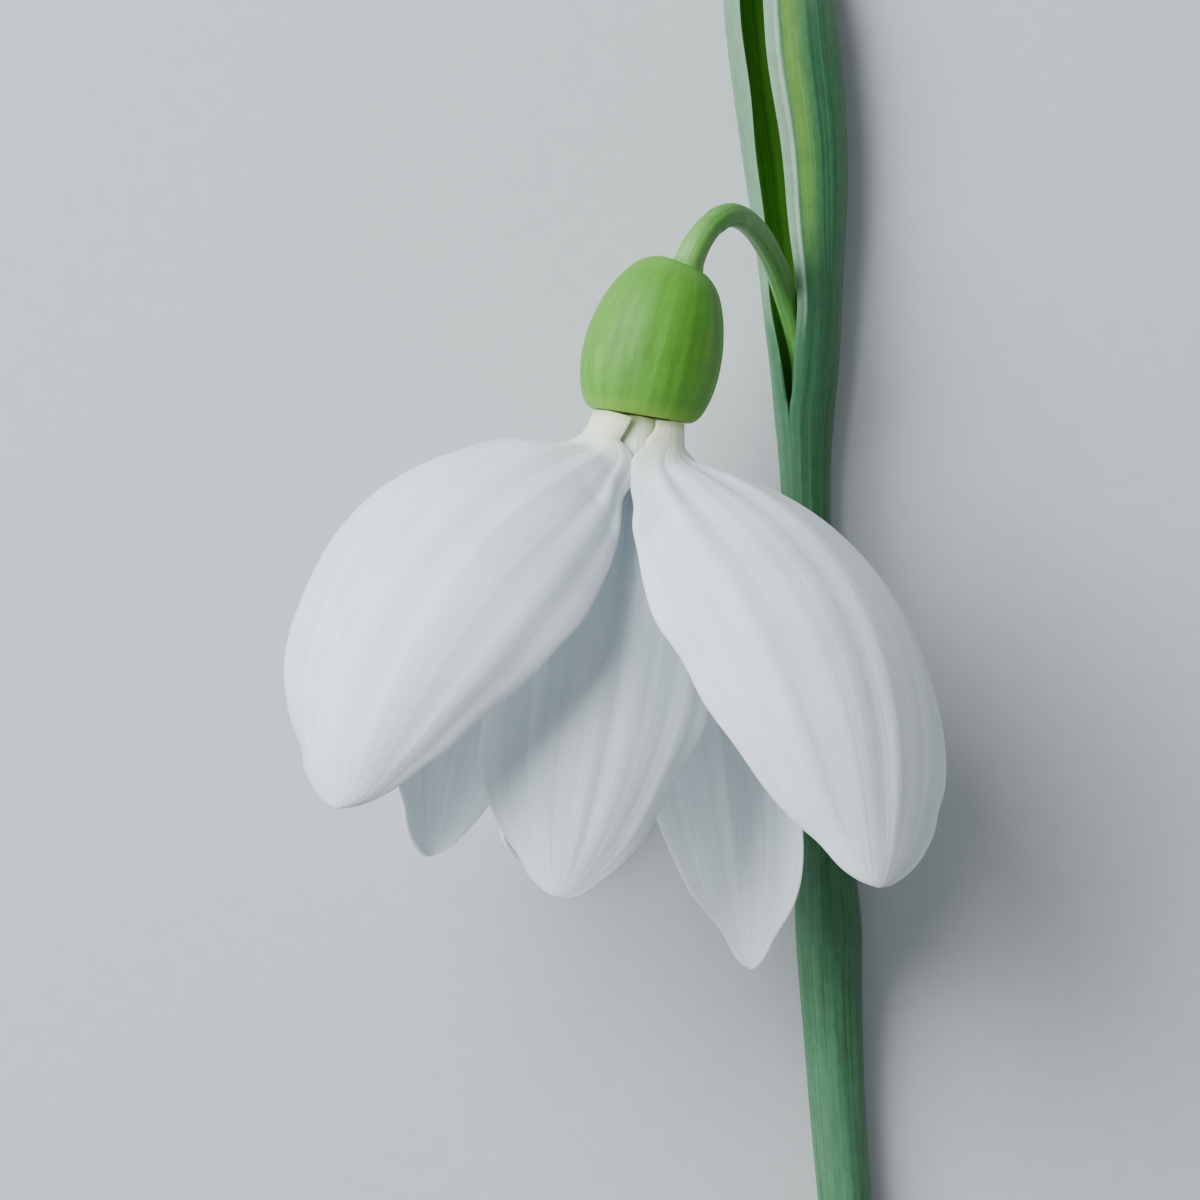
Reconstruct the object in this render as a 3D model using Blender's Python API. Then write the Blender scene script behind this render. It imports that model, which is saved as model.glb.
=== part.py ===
"""A cut snowdrop lying on its side: scape, spathe, pedicel, ovary, six tepals, six stamens and a style.

The flower's own frame has its origin where the tepals leave the ovary. The bell hangs along -Z, and
azimuths are measured from -Y, the side that faces up once the flower is laid down, towards +X.
"""

import bpy
import bmesh
import math
import numpy as np

MM = 0.001

# ---- driving dimensions, in millimetres and degrees ----
GROUND_TO_AXIS = 13.28         # height of the bell's axis over the surface it lies on
HEAD_PLACE = (2.0, 9.1)        # where the bell meets the ovary, seen from above
HEAD_TILT = 9.0                # how far the bell's axis leans from the Y axis

OVARY_LENGTH = 7.9
OVARY_BEND = 13.0              # the ovary curves towards the pedicel by this angle
OVARY_PROFILE = (              # share of the length from the bell, radius
    (0.00, 2.62), (0.03, 2.86), (0.09, 3.10), (0.18, 3.30), (0.30, 3.42), (0.45, 3.40),
    (0.60, 3.22), (0.75, 2.86), (0.87, 2.40), (0.95, 1.90), (1.00, 1.25),
)

OUTER_CLAW_RADIUS = 2.25       # distance of an outer tepal's claw from the bell's axis
INNER_CLAW_RADIUS = 1.42
CLAW_LENGTH = 1.6
CLAW_ANGLE = 12.0
OUTER_THICKNESS = 0.42
INNER_THICKNESS = 0.38
MARGIN_THICKNESS = 0.24
TIP_HALF_WIDTH = 0.16
JOINT_GAP = 0.05               # clearance between pieces that meet

# what the tepals of one ring share: fullness towards claw and tip, then cupping at claw and blade
RINGS = {
    "outer": dict(claw_radius=OUTER_CLAW_RADIUS, thickness=OUTER_THICKNESS,
                  claw_fill=0.5, tip_fill=0.6, claw_cup=50, cup=58),
    "inner": dict(claw_radius=INNER_CLAW_RADIUS, thickness=INNER_THICKNESS,
                  claw_fill=0.65, tip_fill=0.65, claw_cup=50, cup=42),
}

# azimuth, length, flare at the claw and at the tip, width, twist at once and to the tip,
# half-width of the rounded tip, width of the claw, then the side and depth of the cut-back over the claw
TEPALS = {
    "outer_tepal_left": dict(azimuth=-46, length=28, flare=82, tip_flare=-12, width=17,
                             twist=-20, tip_twist=0, lobe=2.0, claw=2.8, trim=(1, 0.6)),
    "outer_tepal_right": dict(azimuth=54, length=28.5, flare=80, tip_flare=0, width=16.5,
                              twist=15, tip_twist=15, lobe=1.5, claw=2.4, trim=(-1, 0.45)),
    "outer_tepal_back": dict(azimuth=190, length=27.5, flare=66, tip_flare=-16, width=14,
                             twist=0, tip_twist=0, lobe=1.0, claw=2.6, trim=(1, 0)),
    "inner_tepal_front": dict(azimuth=-3, length=24.75, flare=24, tip_flare=2, width=12.5,
                              twist=0, tip_twist=0, lobe=0.8, claw=2.2, trim=(1, 0)),
    "inner_tepal_right": dict(azimuth=112, length=28.5, flare=35, tip_flare=5, width=12,
                              twist=-15, tip_twist=-15, lobe=0.6, claw=2.2, trim=(1, 0)),
    "inner_tepal_left": dict(azimuth=-120, length=25.5, flare=48, tip_flare=-15, width=11,
                             twist=10, tip_twist=15, lobe=0.8, claw=2.2, trim=(1, 0)),
}

DISC_RADIUS = 0.92
DISC_DEPTH = 0.5
STAMEN_COUNT = 6
FILAMENT_RING = 0.60           # where the filaments stand on the disc
FILAMENT_RADIUS = 0.17
FILAMENT_LENGTH = 1.3
ANTHER_RADIUS = 0.42
ANTHER_LENGTH = 5.2
ANTHER_LEAN = 8.0              # each stamen leans out from the style
STYLE_RADIUS = 0.22
STYLE_LENGTH = 8.6

SCAPE_RADIUS = 1.39
SCAPE_TOP_RADIUS = 1.72
SCAPE_ROUTE = ((14.6, -48.0), (13.3, -37.0), (12.45, -28.0), (12.05, -21.5),
               (11.91, -18.5), (11.9, -17.86))
PEDICEL_RADIUS = 0.60
PEDICEL_HEAD_RADIUS = 0.71     # it thickens towards the ovary
# across, along and height over the surface, from the ovary round the arch and down into the spathe
PEDICEL_ROUTE = (
    (4.42, 16.86, 13.28), (4.80, 17.75, 13.22), (5.50, 18.72, 12.80), (6.35, 19.30, 11.90),
    (7.15, 19.28, 10.45), (7.85, 18.85, 8.60), (8.45, 18.15, 6.65), (9.02, 17.20, 4.75),
    (9.54, 15.90, 3.14), (10.08, 14.20, 2.13), (10.48, 12.30, 1.70), (10.62, 10.20, 1.48),
    (10.66, 7.50, 1.40), (10.76, 4.00, 1.34), (10.98, 0.0, 1.36), (11.40, -8.0, 1.46), (11.86, -17.0, 1.74),
)
# along, across, half-width, half-depth, half-angle of the slit, and the wall's thickness
SPATHE_SECTIONS = (
    (-17.8, 11.90, 1.76, 1.76, 1.2, 0.42), (-16.2, 11.82, 1.72, 1.72, 1.2, 0.38),
    (-12.0, 11.60, 1.50, 1.52, 1.2, 0.34), (-4.0, 11.15, 1.34, 1.38, 1.2, 0.32),
    (3.0, 10.80, 1.25, 1.30, 1.2, 0.32), (7.0, 10.66, 1.36, 1.34, 1.2, 0.32),
    (9.6, 10.62, 1.58, 1.44, 1.6, 0.32), (10.9, 10.62, 1.70, 1.52, 8.0, 0.32),
    (12.4, 10.60, 1.84, 1.60, 13.0, 0.32), (14.0, 10.55, 1.98, 1.68, 19.0, 0.32),
    (15.4, 10.50, 2.08, 1.74, 23.0, 0.32), (17.2, 10.44, 2.22, 1.80, 22.5, 0.32),
    (19.4, 10.36, 2.44, 1.86, 19.0, 0.32), (22.0, 10.20, 2.68, 1.92, 16.5, 0.32),
    (25.2, 9.92, 2.88, 1.98, 15.0, 0.32), (28.6, 9.56, 2.96, 1.98, 14.0, 0.32),
    (31.6, 9.22, 2.86, 1.90, 14.0, 0.32), (34.4, 8.90, 2.46, 1.70, 14.0, 0.32),
    (36.8, 8.62, 1.82, 1.36, 14.0, 0.32), (38.6, 8.42, 1.18, 1.00, 14.0, 0.30),
    (39.8, 8.28, 0.70, 0.68, 14.0, 0.28),
)
SPATHE_SLIT_SIDE = 123.0       # direction that the slit faces: 90 is straight up, 180 is left


# ---- materials ----
def make_material(name, colour, roughness):
    material = bpy.data.materials.new(name)
    material.use_nodes = True
    shader = material.node_tree.nodes["Principled BSDF"]
    shader.inputs["Base Color"].default_value = (*colour, 1.0)
    shader.inputs["Roughness"].default_value = roughness
    shader.inputs["Metallic"].default_value = 0.0
    return material


# ---- meshes ----
def add_object(name, rings_or_faces, material, parent):
    points, faces = rings_or_faces
    mesh = bpy.data.meshes.new(name)
    mesh.from_pydata([tuple(p * MM) for p in points], [], faces)
    work = bmesh.new()
    work.from_mesh(mesh)
    bmesh.ops.recalc_face_normals(work, faces=work.faces)
    if work.calc_volume(signed=True) < 0:
        bmesh.ops.reverse_faces(work, faces=work.faces)
    work.to_mesh(mesh)
    work.free()
    mesh.materials.append(material)
    mesh.shade_smooth()
    mesh.set_sharp_from_angle(angle=math.radians(50))
    obj = bpy.data.objects.new(name, mesh)
    bpy.context.scene.collection.objects.link(obj)
    obj.parent = parent
    return obj


def rings_to_solid(rings):
    """Closed rings of equal length, skinned and capped at both ends with a fan."""
    count, around = len(rings), len(rings[0])
    points = [p for ring in rings for p in ring]
    faces = []
    for i in range(count - 1):
        for j in range(around):
            k = (j + 1) % around
            faces.append((i * around + j, i * around + k, (i + 1) * around + k, (i + 1) * around + j))
    for first in (0, (count - 1) * around):
        centre = len(points)
        points.append(np.mean(points[first:first + around], axis=0))
        for j in range(around):
            faces.append((centre, first + j, first + (j + 1) % around))
    return points, faces


def sheet_to_solid(outside, inside):
    """Two grids of points, one each side of a sheet, joined along all four edges."""
    rows, columns = outside.shape[:2]
    points = list(outside.reshape(-1, 3)) + list(inside.reshape(-1, 3))
    other = rows * columns
    faces = []
    for i in range(rows - 1):
        for j in range(columns - 1):
            a = i * columns + j
            faces.append((a, a + 1, a + columns + 1, a + columns))
            faces.append((other + a, other + a + columns, other + a + columns + 1, other + a + 1))
    edge = [j for j in range(columns)]
    edge += [i * columns + columns - 1 for i in range(1, rows)]
    edge += [(rows - 1) * columns + j for j in range(columns - 2, -1, -1)]
    edge += [i * columns for i in range(rows - 2, 0, -1)]
    for n, a in enumerate(edge):
        b = edge[(n + 1) % len(edge)]
        faces.append((a, b, other + b, other + a))
    return points, faces


def smooth_curve(route, steps):
    """Catmull-Rom curve through the route's points, with the same number of steps between each two."""
    route = np.array(route, float)
    ends = np.vstack([2 * route[0] - route[1], route, 2 * route[-1] - route[-2]])
    out = []
    for i in range(1, len(ends) - 2):
        a, b, c, d = ends[i - 1:i + 3]
        for t in np.arange(steps) / steps:
            out.append(0.5 * (2 * b + (c - a) * t + (2 * a - 5 * b + 4 * c - d) * t * t
                              + (3 * b - a - 3 * c + d) * t ** 3))
    out.append(ends[-2])
    return np.array(out)


def tube(centres, radii, sides):
    """A round tube along the centres, its rings carried without twist."""
    centres = np.asarray(centres, float)
    along = np.gradient(centres, axis=0)
    along /= np.linalg.norm(along, axis=1)[:, None]
    side = np.cross(along[0], (0.0, 0.0, 1.0))
    if np.linalg.norm(side) < 0.1:
        side = np.array((1.0, 0.0, 0.0))
    turns = np.linspace(0, 2 * math.pi, sides, endpoint=False)
    rings = []
    for centre, forward, radius in zip(centres, along, radii):
        side = side - forward * np.dot(side, forward)
        side /= np.linalg.norm(side)
        up = np.cross(side, forward)
        rings.append([centre + radius * (math.cos(t) * side + math.sin(t) * up) for t in turns])
    return rings_to_solid(rings)


# ---- the flower ----
def tepal_grids(shape, ring, rows=24, columns=10):
    """The outside and inside of one tepal. Its midrib leaves the claw, flares and comes round to the tip."""
    length = shape["length"]
    claw_radius, thickness = ring["claw_radius"], ring["thickness"]
    claw_share = CLAW_LENGTH / length
    fine = 40
    s = 0.5 * (1 - np.cos(np.linspace(0, math.pi, rows)))
    s = 0.5 * s + 0.5 * np.linspace(0, 1, rows)

    def flare_at(share):
        leaving = np.clip((share - claw_share * 0.6) / (claw_share * 1.2), 0, 1)
        leaving = leaving * leaving * (3 - 2 * leaving)
        blade = np.clip((share - claw_share) / (1 - claw_share), 0, 1)
        blade_flare = shape["flare"] + (shape["tip_flare"] - shape["flare"]) * blade
        return np.radians(CLAW_ANGLE * (1 - leaving) + leaving * blade_flare)

    dense = np.linspace(0, 1, rows * fine)
    middle = flare_at((dense[1:] + dense[:-1]) / 2)
    step = length / (len(dense) - 1)
    out_dense = claw_radius + np.concatenate([[0], np.cumsum(np.sin(middle) * step)])
    down_dense = np.concatenate([[0], np.cumsum(np.cos(middle) * step)])
    out = np.interp(s, dense, out_dense)
    down = np.interp(s, dense, down_dense)
    azimuth = math.radians(shape["azimuth"])
    radial = np.array((math.sin(azimuth), -math.cos(azimuth), 0.0))
    bell = np.array((0.0, 0.0, -1.0))
    midrib = out[:, None] * radial + down[:, None] * bell

    along = np.gradient(midrib, s, axis=0)
    along /= np.linalg.norm(along, axis=1)[:, None]
    flare = flare_at(s)
    facing = np.cos(flare)[:, None] * radial - np.sin(flare)[:, None] * bell
    facing -= np.sum(facing * along, 1)[:, None] * along
    facing /= np.linalg.norm(facing, axis=1)[:, None]
    across = np.cross(facing, along)
    twist = np.radians(shape["twist"] * np.clip(s * 6, 0, 1) + shape["tip_twist"] * s)[:, None]
    turned_across = np.cos(twist) * across + np.sin(twist) * facing
    turned_facing = np.cos(twist) * facing - np.sin(twist) * across

    blade = np.clip((s - claw_share * 0.75) / (1 - claw_share * 0.75), 0, 1)
    claw_fill, tip_fill = ring["claw_fill"], ring["tip_fill"]
    widest = claw_fill / (claw_fill + tip_fill)
    body = blade ** claw_fill * (1 - blade) ** tip_fill
    body /= widest ** claw_fill * (1 - widest) ** tip_fill
    lobe = shape["lobe"]
    lobe_at = 1 - lobe / length
    lobe_round = np.sqrt(np.clip(1 - ((s - lobe_at) / (1 - lobe_at)) ** 2, 0, 1))
    lobe_width = lobe * np.where(s > lobe_at, lobe_round, np.exp(-((s - lobe_at) / 0.03) ** 2))
    half_width = (
        (shape["width"] / 2 * body) ** 3 + (shape["claw"] / 2 * (1 - s) ** 5) ** 3 + lobe_width ** 3
    ) ** (1 / 3)
    half_width = np.maximum(half_width, TIP_HALF_WIDTH)

    cup = np.radians(ring["claw_cup"] + (ring["cup"] - ring["claw_cup"]) * np.clip(s * 1.6, 0, 1))
    t = np.linspace(-1, 1, columns + 1)
    angle = cup[:, None] * t
    side, depth = shape["trim"]
    cut_back = depth * np.exp(-((s - 0.12) / 0.06) ** 2)
    width = half_width[:, None] - cut_back[:, None] * np.clip(t * side, 0, 1)
    sideways = width * np.sin(angle) / cup[:, None]
    inward = width * (1 - np.cos(angle)) / cup[:, None]
    surface = (midrib[:, None] + sideways[..., None] * turned_across[:, None]
               - inward[..., None] * turned_facing[:, None])
    normal = (np.cos(angle)[..., None] * turned_facing[:, None]
              + np.sin(angle)[..., None] * turned_across[:, None])
    thin = MARGIN_THICKNESS + (thickness - MARGIN_THICKNESS) * (1 - t ** 2)[None, :] * (1 - s[:, None] ** 4)
    half = normal * thin[..., None] / 2
    return surface + half, surface - half


def make_tepals(parent, white):
    for name, shape in TEPALS.items():
        outside, inside = tepal_grids(shape, RINGS[name.split("_")[0]])
        add_object(name, sheet_to_solid(outside, inside), white, parent)


def make_ovary(parent, green):
    """A barrel turned round its own bent centre line."""
    sides = 28
    bend_radius = OVARY_LENGTH / math.radians(OVARY_BEND)
    turns = np.linspace(0, 2 * math.pi, sides, endpoint=False)
    rings = []
    for share, radius in OVARY_PROFILE:
        angle = math.radians(OVARY_BEND) * share
        centre = np.array((bend_radius * (1 - math.cos(angle)), 0, bend_radius * math.sin(angle)))
        side = np.array((math.cos(angle), 0, -math.sin(angle)))
        depth = np.array((0.0, 1.0, 0.0))
        rings.append([centre + radius * (math.cos(t) * side + math.sin(t) * depth) for t in turns])
    ovary = add_object("ovary", rings_to_solid(rings), green, parent)
    ovary.location.z = JOINT_GAP * 2 * MM
    return ovary


def make_disc(parent, green):
    levels = (0.0, -0.5 * DISC_DEPTH, -DISC_DEPTH)
    centres = [(0, 0, level) for level in levels]
    radii = (DISC_RADIUS, DISC_RADIUS, 0.8 * DISC_RADIUS)
    return add_object("nectary_disc", tube(centres, radii, 18), green, parent)


def make_stamens(parent, white, orange):
    """Short filaments that carry tall anthers, each drawn out to a point, in a cone round the style."""
    lean = math.radians(ANTHER_LEAN)
    for number in range(STAMEN_COUNT):
        turn = 2 * math.pi * (number + 0.5) / STAMEN_COUNT
        radial = np.array((math.sin(turn), -math.cos(turn), 0))
        forward = math.sin(lean) * radial + math.cos(lean) * np.array((0, 0, -1.0))
        foot = FILAMENT_RING * radial + np.array((0, 0, -DISC_DEPTH - JOINT_GAP))
        filament = [foot + forward * FILAMENT_LENGTH * share for share in (0, 0.5, 1)]
        add_object(f"filament_{number + 1}", tube(filament, [FILAMENT_RADIUS] * 3, 8), white, parent)
        root = filament[-1] + forward * JOINT_GAP
        shares = (0, 0.06, 0.2, 0.45, 0.7, 0.88, 0.97, 1.0)
        widths = (0.55, 0.9, 1.0, 0.95, 0.72, 0.4, 0.2, 0.1)
        anther = [root + forward * ANTHER_LENGTH * share for share in shares]
        radii = [ANTHER_RADIUS * width for width in widths]
        add_object(f"anther_{number + 1}", tube(anther, radii, 10), orange, parent)


def make_style(parent, white):
    shares = (0, 0.25, 0.6, 0.9, 0.97, 1.0)
    widths = (1.0, 0.85, 0.85, 0.8, 0.5, 0.2)
    start = -DISC_DEPTH - JOINT_GAP
    centres = [(0, 0, start - STYLE_LENGTH * share) for share in shares]
    radii = [STYLE_RADIUS * width for width in widths]
    return add_object("style", tube(centres, radii, 10), white, parent)


# ---- the stalks ----
def make_scape(parent, green):
    """The cut stem, lying on the surface and swelling a little to the spathe's foot."""
    plan = smooth_curve(SCAPE_ROUTE, 4)
    foot = SPATHE_SECTIONS[0][3]
    swell = np.clip((plan[:, 1] + 40) / 22, 0, 1) ** 3
    radii = SCAPE_RADIUS + (SCAPE_TOP_RADIUS - SCAPE_RADIUS) * swell
    centres = np.column_stack([plan, radii + (foot - SCAPE_TOP_RADIUS) * swell])
    return add_object("scape", tube(centres, radii, 18), green, parent)


def make_pedicel(parent, green):
    """The arched stalk from inside the spathe up and over to the ovary."""
    centres = smooth_curve(PEDICEL_ROUTE, 3)
    share = np.linspace(0, 1, len(centres))
    swell = np.clip(1 - share / 0.16, 0, 1)
    swell = swell * swell * (3 - 2 * swell)
    radii = PEDICEL_RADIUS + (PEDICEL_HEAD_RADIUS - PEDICEL_RADIUS) * swell
    return add_object("pedicel", tube(centres, radii, 12), green, parent)


def spathe_grids(around=18):
    """A sheath that holds the pedicel below and opens along one side above, as a long keeled hood."""
    sections = smooth_curve(SPATHE_SECTIONS, 2)
    outside, inside = [], []
    for along, across, half_width, half_depth, slit, wall in sections:
        start = math.radians(SPATHE_SLIT_SIDE + slit)
        end = math.radians(SPATHE_SLIT_SIDE - slit + 360)
        turns = np.linspace(start, end, around + 1)
        centre = np.array((across, along, half_depth))
        direction = np.stack([np.cos(turns), 0 * turns, np.sin(turns)], 1)
        outside.append(centre + direction * (half_width, 0, half_depth))
        inside.append(centre + direction * (half_width - wall, 0, half_depth - wall))
    return np.array(outside), np.array(inside)


def make_spathe(parent, green):
    outside, inside = spathe_grids()
    return add_object("spathe", sheet_to_solid(outside, inside), green, parent)


# ---- the whole flower ----
def clear_scene():
    for obj in list(bpy.data.objects):
        bpy.data.objects.remove(obj)


def add_empty(name, parent=None):
    empty = bpy.data.objects.new(name, None)
    bpy.context.scene.collection.objects.link(empty)
    empty.parent = parent
    return empty


def rest_on_ground(plant):
    """Moves the plant so that the middle of its box's underside is the origin."""
    bpy.context.view_layer.update()
    corners = []
    for obj in bpy.context.scene.objects:
        if obj.type == "MESH":
            corners += [tuple(obj.matrix_world @ vertex.co) for vertex in obj.data.vertices]
    low, high = np.min(corners, axis=0), np.max(corners, axis=0)
    plant.location = (-(low[0] + high[0]) / 2, -(low[1] + high[1]) / 2, -low[2])


def main():
    clear_scene()
    petal_white = make_material("petal_white", (0.80, 0.85, 0.87), 0.55)
    claw_white = make_material("stamen_white", (0.84, 0.88, 0.78), 0.5)
    anther_orange = make_material("anther_orange", (0.85, 0.46, 0.07), 0.7)
    ovary_green = make_material("ovary_green", (0.09, 0.27, 0.03), 0.4)
    stalk_green = make_material("stalk_green", (0.06, 0.20, 0.07), 0.5)
    spathe_green = make_material("spathe_green", (0.08, 0.20, 0.12), 0.55)

    plant = add_empty("snowdrop")
    head = add_empty("flower_head", plant)
    head.location = (HEAD_PLACE[0] * MM, HEAD_PLACE[1] * MM, GROUND_TO_AXIS * MM)
    head.rotation_euler = (math.radians(-90), 0, math.radians(-HEAD_TILT))

    make_ovary(head, ovary_green)
    make_disc(head, ovary_green)
    make_tepals(head, petal_white)
    make_stamens(head, claw_white, anther_orange)
    make_style(head, claw_white)
    make_scape(plant, stalk_green)
    make_pedicel(plant, stalk_green)
    make_spathe(plant, spathe_green)
    rest_on_ground(plant)


main()
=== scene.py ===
import math

import bmesh
import bpy
import numpy as np
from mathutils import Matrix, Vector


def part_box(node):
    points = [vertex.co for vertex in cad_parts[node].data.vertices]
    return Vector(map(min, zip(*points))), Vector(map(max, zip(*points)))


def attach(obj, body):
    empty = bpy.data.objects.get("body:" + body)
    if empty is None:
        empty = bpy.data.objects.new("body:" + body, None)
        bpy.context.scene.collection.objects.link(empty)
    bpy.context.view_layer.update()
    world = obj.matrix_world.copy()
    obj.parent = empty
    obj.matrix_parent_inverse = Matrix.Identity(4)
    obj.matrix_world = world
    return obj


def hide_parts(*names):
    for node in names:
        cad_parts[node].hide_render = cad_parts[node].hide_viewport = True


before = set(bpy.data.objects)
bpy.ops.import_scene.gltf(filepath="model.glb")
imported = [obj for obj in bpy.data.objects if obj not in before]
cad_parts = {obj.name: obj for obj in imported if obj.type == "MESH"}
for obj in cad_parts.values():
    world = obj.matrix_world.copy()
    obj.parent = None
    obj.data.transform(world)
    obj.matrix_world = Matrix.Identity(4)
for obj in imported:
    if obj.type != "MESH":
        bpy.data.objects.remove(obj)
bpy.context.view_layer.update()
print("frame loaded")

mm = 0.001
down = np.array((0.0, 0.0, -1.0))

layout = {
    "headTilt": 9.0,             # the bell's axis leans this far from the scape's direction
    "axisHeight": 13.28,
    "headPlace": (2.0, 9.1),     # in the frame that the routes below are drawn in
    "discMiddle": 0.25,          # the disc's middle is this far into the bell
}
tilt = math.radians(layout["headTilt"])
bellDir = np.array((-math.sin(tilt), -math.cos(tilt), 0.0))
sideDir = np.array((math.cos(tilt), -math.sin(tilt), 0.0))
upDir = np.array((0.0, 0.0, 1.0))
discLow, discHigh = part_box("nectary_disc")
discMiddle = np.array((discLow + discHigh) / 2) / mm
headPlace = discMiddle - bellDir * layout["discMiddle"]
headPlace[2] = layout["axisHeight"]
plantShift = headPlace - np.array((*layout["headPlace"], layout["axisHeight"]))


def fromHead(points):
    # head frame to world: x to the side, -y up off the surface, -z down the bell
    points = np.asarray(points, float)
    return (headPlace + points[..., 0:1] * sideDir - points[..., 1:2] * upDir
            - points[..., 2:3] * bellDir)


def smoothStep(low, high, x):
    u = np.clip((np.asarray(x, float) - low) / (high - low), 0, 1)
    return u * u * (3 - 2 * u)


def smoothCurve(route, steps):
    route = np.array(route, float)
    ends = np.vstack([2 * route[0] - route[1], route, 2 * route[-1] - route[-2]])
    out = []
    for i in range(1, len(ends) - 2):
        a, b, c, d = ends[i - 1:i + 3]
        for t in np.arange(steps) / steps:
            out.append(0.5 * (2 * b + (c - a) * t + (2 * a - 5 * b + 4 * c - d) * t * t
                              + (3 * b - a - 3 * c + d) * t ** 3))
    out.append(ends[-2])
    return np.array(out)


def hump(x, middle, width):
    return np.exp(-((x - middle) / width) ** 2)


def makePiece(name, points, faces, uvs, materials, nodes, slotName, faceMaterial=None):
    mesh = bpy.data.meshes.new(name)
    mesh.from_pydata((np.asarray(points) * mm).tolist(), [], faces)
    layer = mesh.uv_layers.new(name="along")
    loops = np.zeros(len(mesh.loops), np.int32)
    mesh.loops.foreach_get("vertex_index", loops)
    layer.data.foreach_set("uv", np.asarray(uvs, np.float32)[loops].ravel())
    for material in materials:
        mesh.materials.append(material)
    if faceMaterial is not None:
        mesh.polygons.foreach_set("material_index", np.asarray(faceMaterial, np.int32))
    work = bmesh.new()
    work.from_mesh(mesh)
    bmesh.ops.recalc_face_normals(work, faces=work.faces)
    if work.calc_volume(signed=True) < 0:
        bmesh.ops.reverse_faces(work, faces=work.faces)
    work.to_mesh(mesh)
    work.free()
    mesh.shade_smooth()
    mesh.set_sharp_from_angle(angle=math.radians(60))
    piece = bpy.data.objects.new(name, mesh)
    bpy.context.scene.collection.objects.link(piece)
    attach(piece, "root")
    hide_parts(*nodes)
    return piece


def sheetParts(outside, inside, uv):
    # two skins of one sheet, closed round its four edges
    rows, columns = outside.shape[:2]
    other = rows * columns
    grid = np.arange(other).reshape(rows, columns)
    a, b, c, d = grid[:-1, :-1], grid[:-1, 1:], grid[1:, 1:], grid[1:, :-1]
    front = np.stack([a, b, c, d], -1).reshape(-1, 4)
    back = np.stack([a, d, c, b], -1).reshape(-1, 4) + other
    edge = list(grid[0]) + list(grid[1:, -1]) + list(grid[-1, -2::-1]) + list(grid[-2:0:-1, 0])
    rim = [(p, q, q + other, p + other) for p, q in zip(edge, edge[1:] + edge[:1])]
    points = np.vstack([outside.reshape(-1, 3), inside.reshape(-1, 3)])
    uvs = np.vstack([uv.reshape(-1, 2), uv.reshape(-1, 2)])
    faces = front.tolist() + back.tolist() + [tuple(int(i) for i in face) for face in rim]
    return points, faces, uvs


def ringParts(rings):
    # closed rings joined one to the next, with a fan at each end
    rings = np.asarray(rings, float)
    count, around = rings.shape[:2]
    grid = np.arange(count * around).reshape(count, around)
    turned = np.roll(grid, -1, axis=1)
    faces = np.stack([grid[:-1], turned[:-1], turned[1:], grid[1:]], -1).reshape(-1, 4).tolist()
    points = list(rings.reshape(-1, 3))
    lengths = np.concatenate([[0], np.cumsum(np.linalg.norm(
        np.diff(rings.mean(1), axis=0), axis=1))])
    share = lengths / max(lengths[-1], 1e-9)
    angle = np.linspace(0, 1, around, endpoint=False)
    uvs = [(angle[j], share[i]) for i in range(count) for j in range(around)]
    for row in (0, count - 1):
        middle = len(points)
        points.append(rings[row].mean(0))
        uvs.append((0.5, share[row]))
        for j in range(around):
            faces.append((middle, int(grid[row, j]), int(turned[row, j])))
    return np.array(points), faces, np.array(uvs)


def tubeRings(centres, radii, sides, ridges=None):
    centres = np.asarray(centres, float)
    along = np.gradient(centres, axis=0)
    along /= np.linalg.norm(along, axis=1)[:, None]
    side = np.cross(along[0], upDir)
    if np.linalg.norm(side) < 0.1:
        side = np.array((1.0, 0.0, 0.0))
    turns = np.linspace(0, 2 * math.pi, sides, endpoint=False)
    rings = []
    for i, (centre, forward) in enumerate(zip(centres, along)):
        side = side - forward * np.dot(side, forward)
        side /= np.linalg.norm(side)
        up = np.cross(side, forward)
        radius = radii[i] if ridges is None else radii[i] * (1 + ridges(turns, i / (len(centres) - 1)))
        radius = np.broadcast_to(radius, turns.shape)
        rings.append(centre + radius[:, None] * (np.cos(turns)[:, None] * side
                                                 + np.sin(turns)[:, None] * up))
    return np.array(rings)


def startMaterial(name, roughness, sheen=0.0, coat=0.0, subsurface=0.0, scatter=0.4, tint=(1, 1, 1)):
    material = bpy.data.materials.new(name)
    material.use_nodes = True
    tree = material.node_tree
    shader = tree.nodes["Principled BSDF"]
    shader.inputs["Roughness"].default_value = roughness
    shader.inputs["Sheen Weight"].default_value = sheen
    shader.inputs["Coat Weight"].default_value = coat
    shader.inputs["Coat Roughness"].default_value = 0.35
    shader.inputs["Specular IOR Level"].default_value = 0.32
    shader.inputs["Subsurface Weight"].default_value = subsurface
    shader.inputs["Subsurface Scale"].default_value = scatter * mm
    shader.inputs["Subsurface Radius"].default_value = tint
    return material, tree, shader


def addNode(tree, kind, inputs=None, **settings):
    node = tree.nodes.new(kind)
    for key, value in settings.items():
        setattr(node, key, value)
    for key, value in (inputs or {}).items():
        if isinstance(value, bpy.types.NodeSocket):
            tree.links.new(value, node.inputs[key])
        else:
            node.inputs[key].default_value = value
    return node


def uvOf(tree):
    return addNode(tree, "ShaderNodeUVMap", uv_map="along").outputs[0]


def placeOf(tree):
    return addNode(tree, "ShaderNodeTexCoord").outputs["Object"]


def noiseOf(tree, vector, stretch, detail=4.0, rough=0.55, distortion=0.0):
    # noise with so many features per unit along each axis
    mapped = addNode(tree, "ShaderNodeMapping", {"Vector": vector, "Scale": stretch})
    noise = addNode(tree, "ShaderNodeTexNoise", {
        "Vector": mapped.outputs[0], "Scale": 1.0, "Detail": detail, "Roughness": rough,
        "Distortion": distortion})
    return noise.outputs["Fac"]


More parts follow.
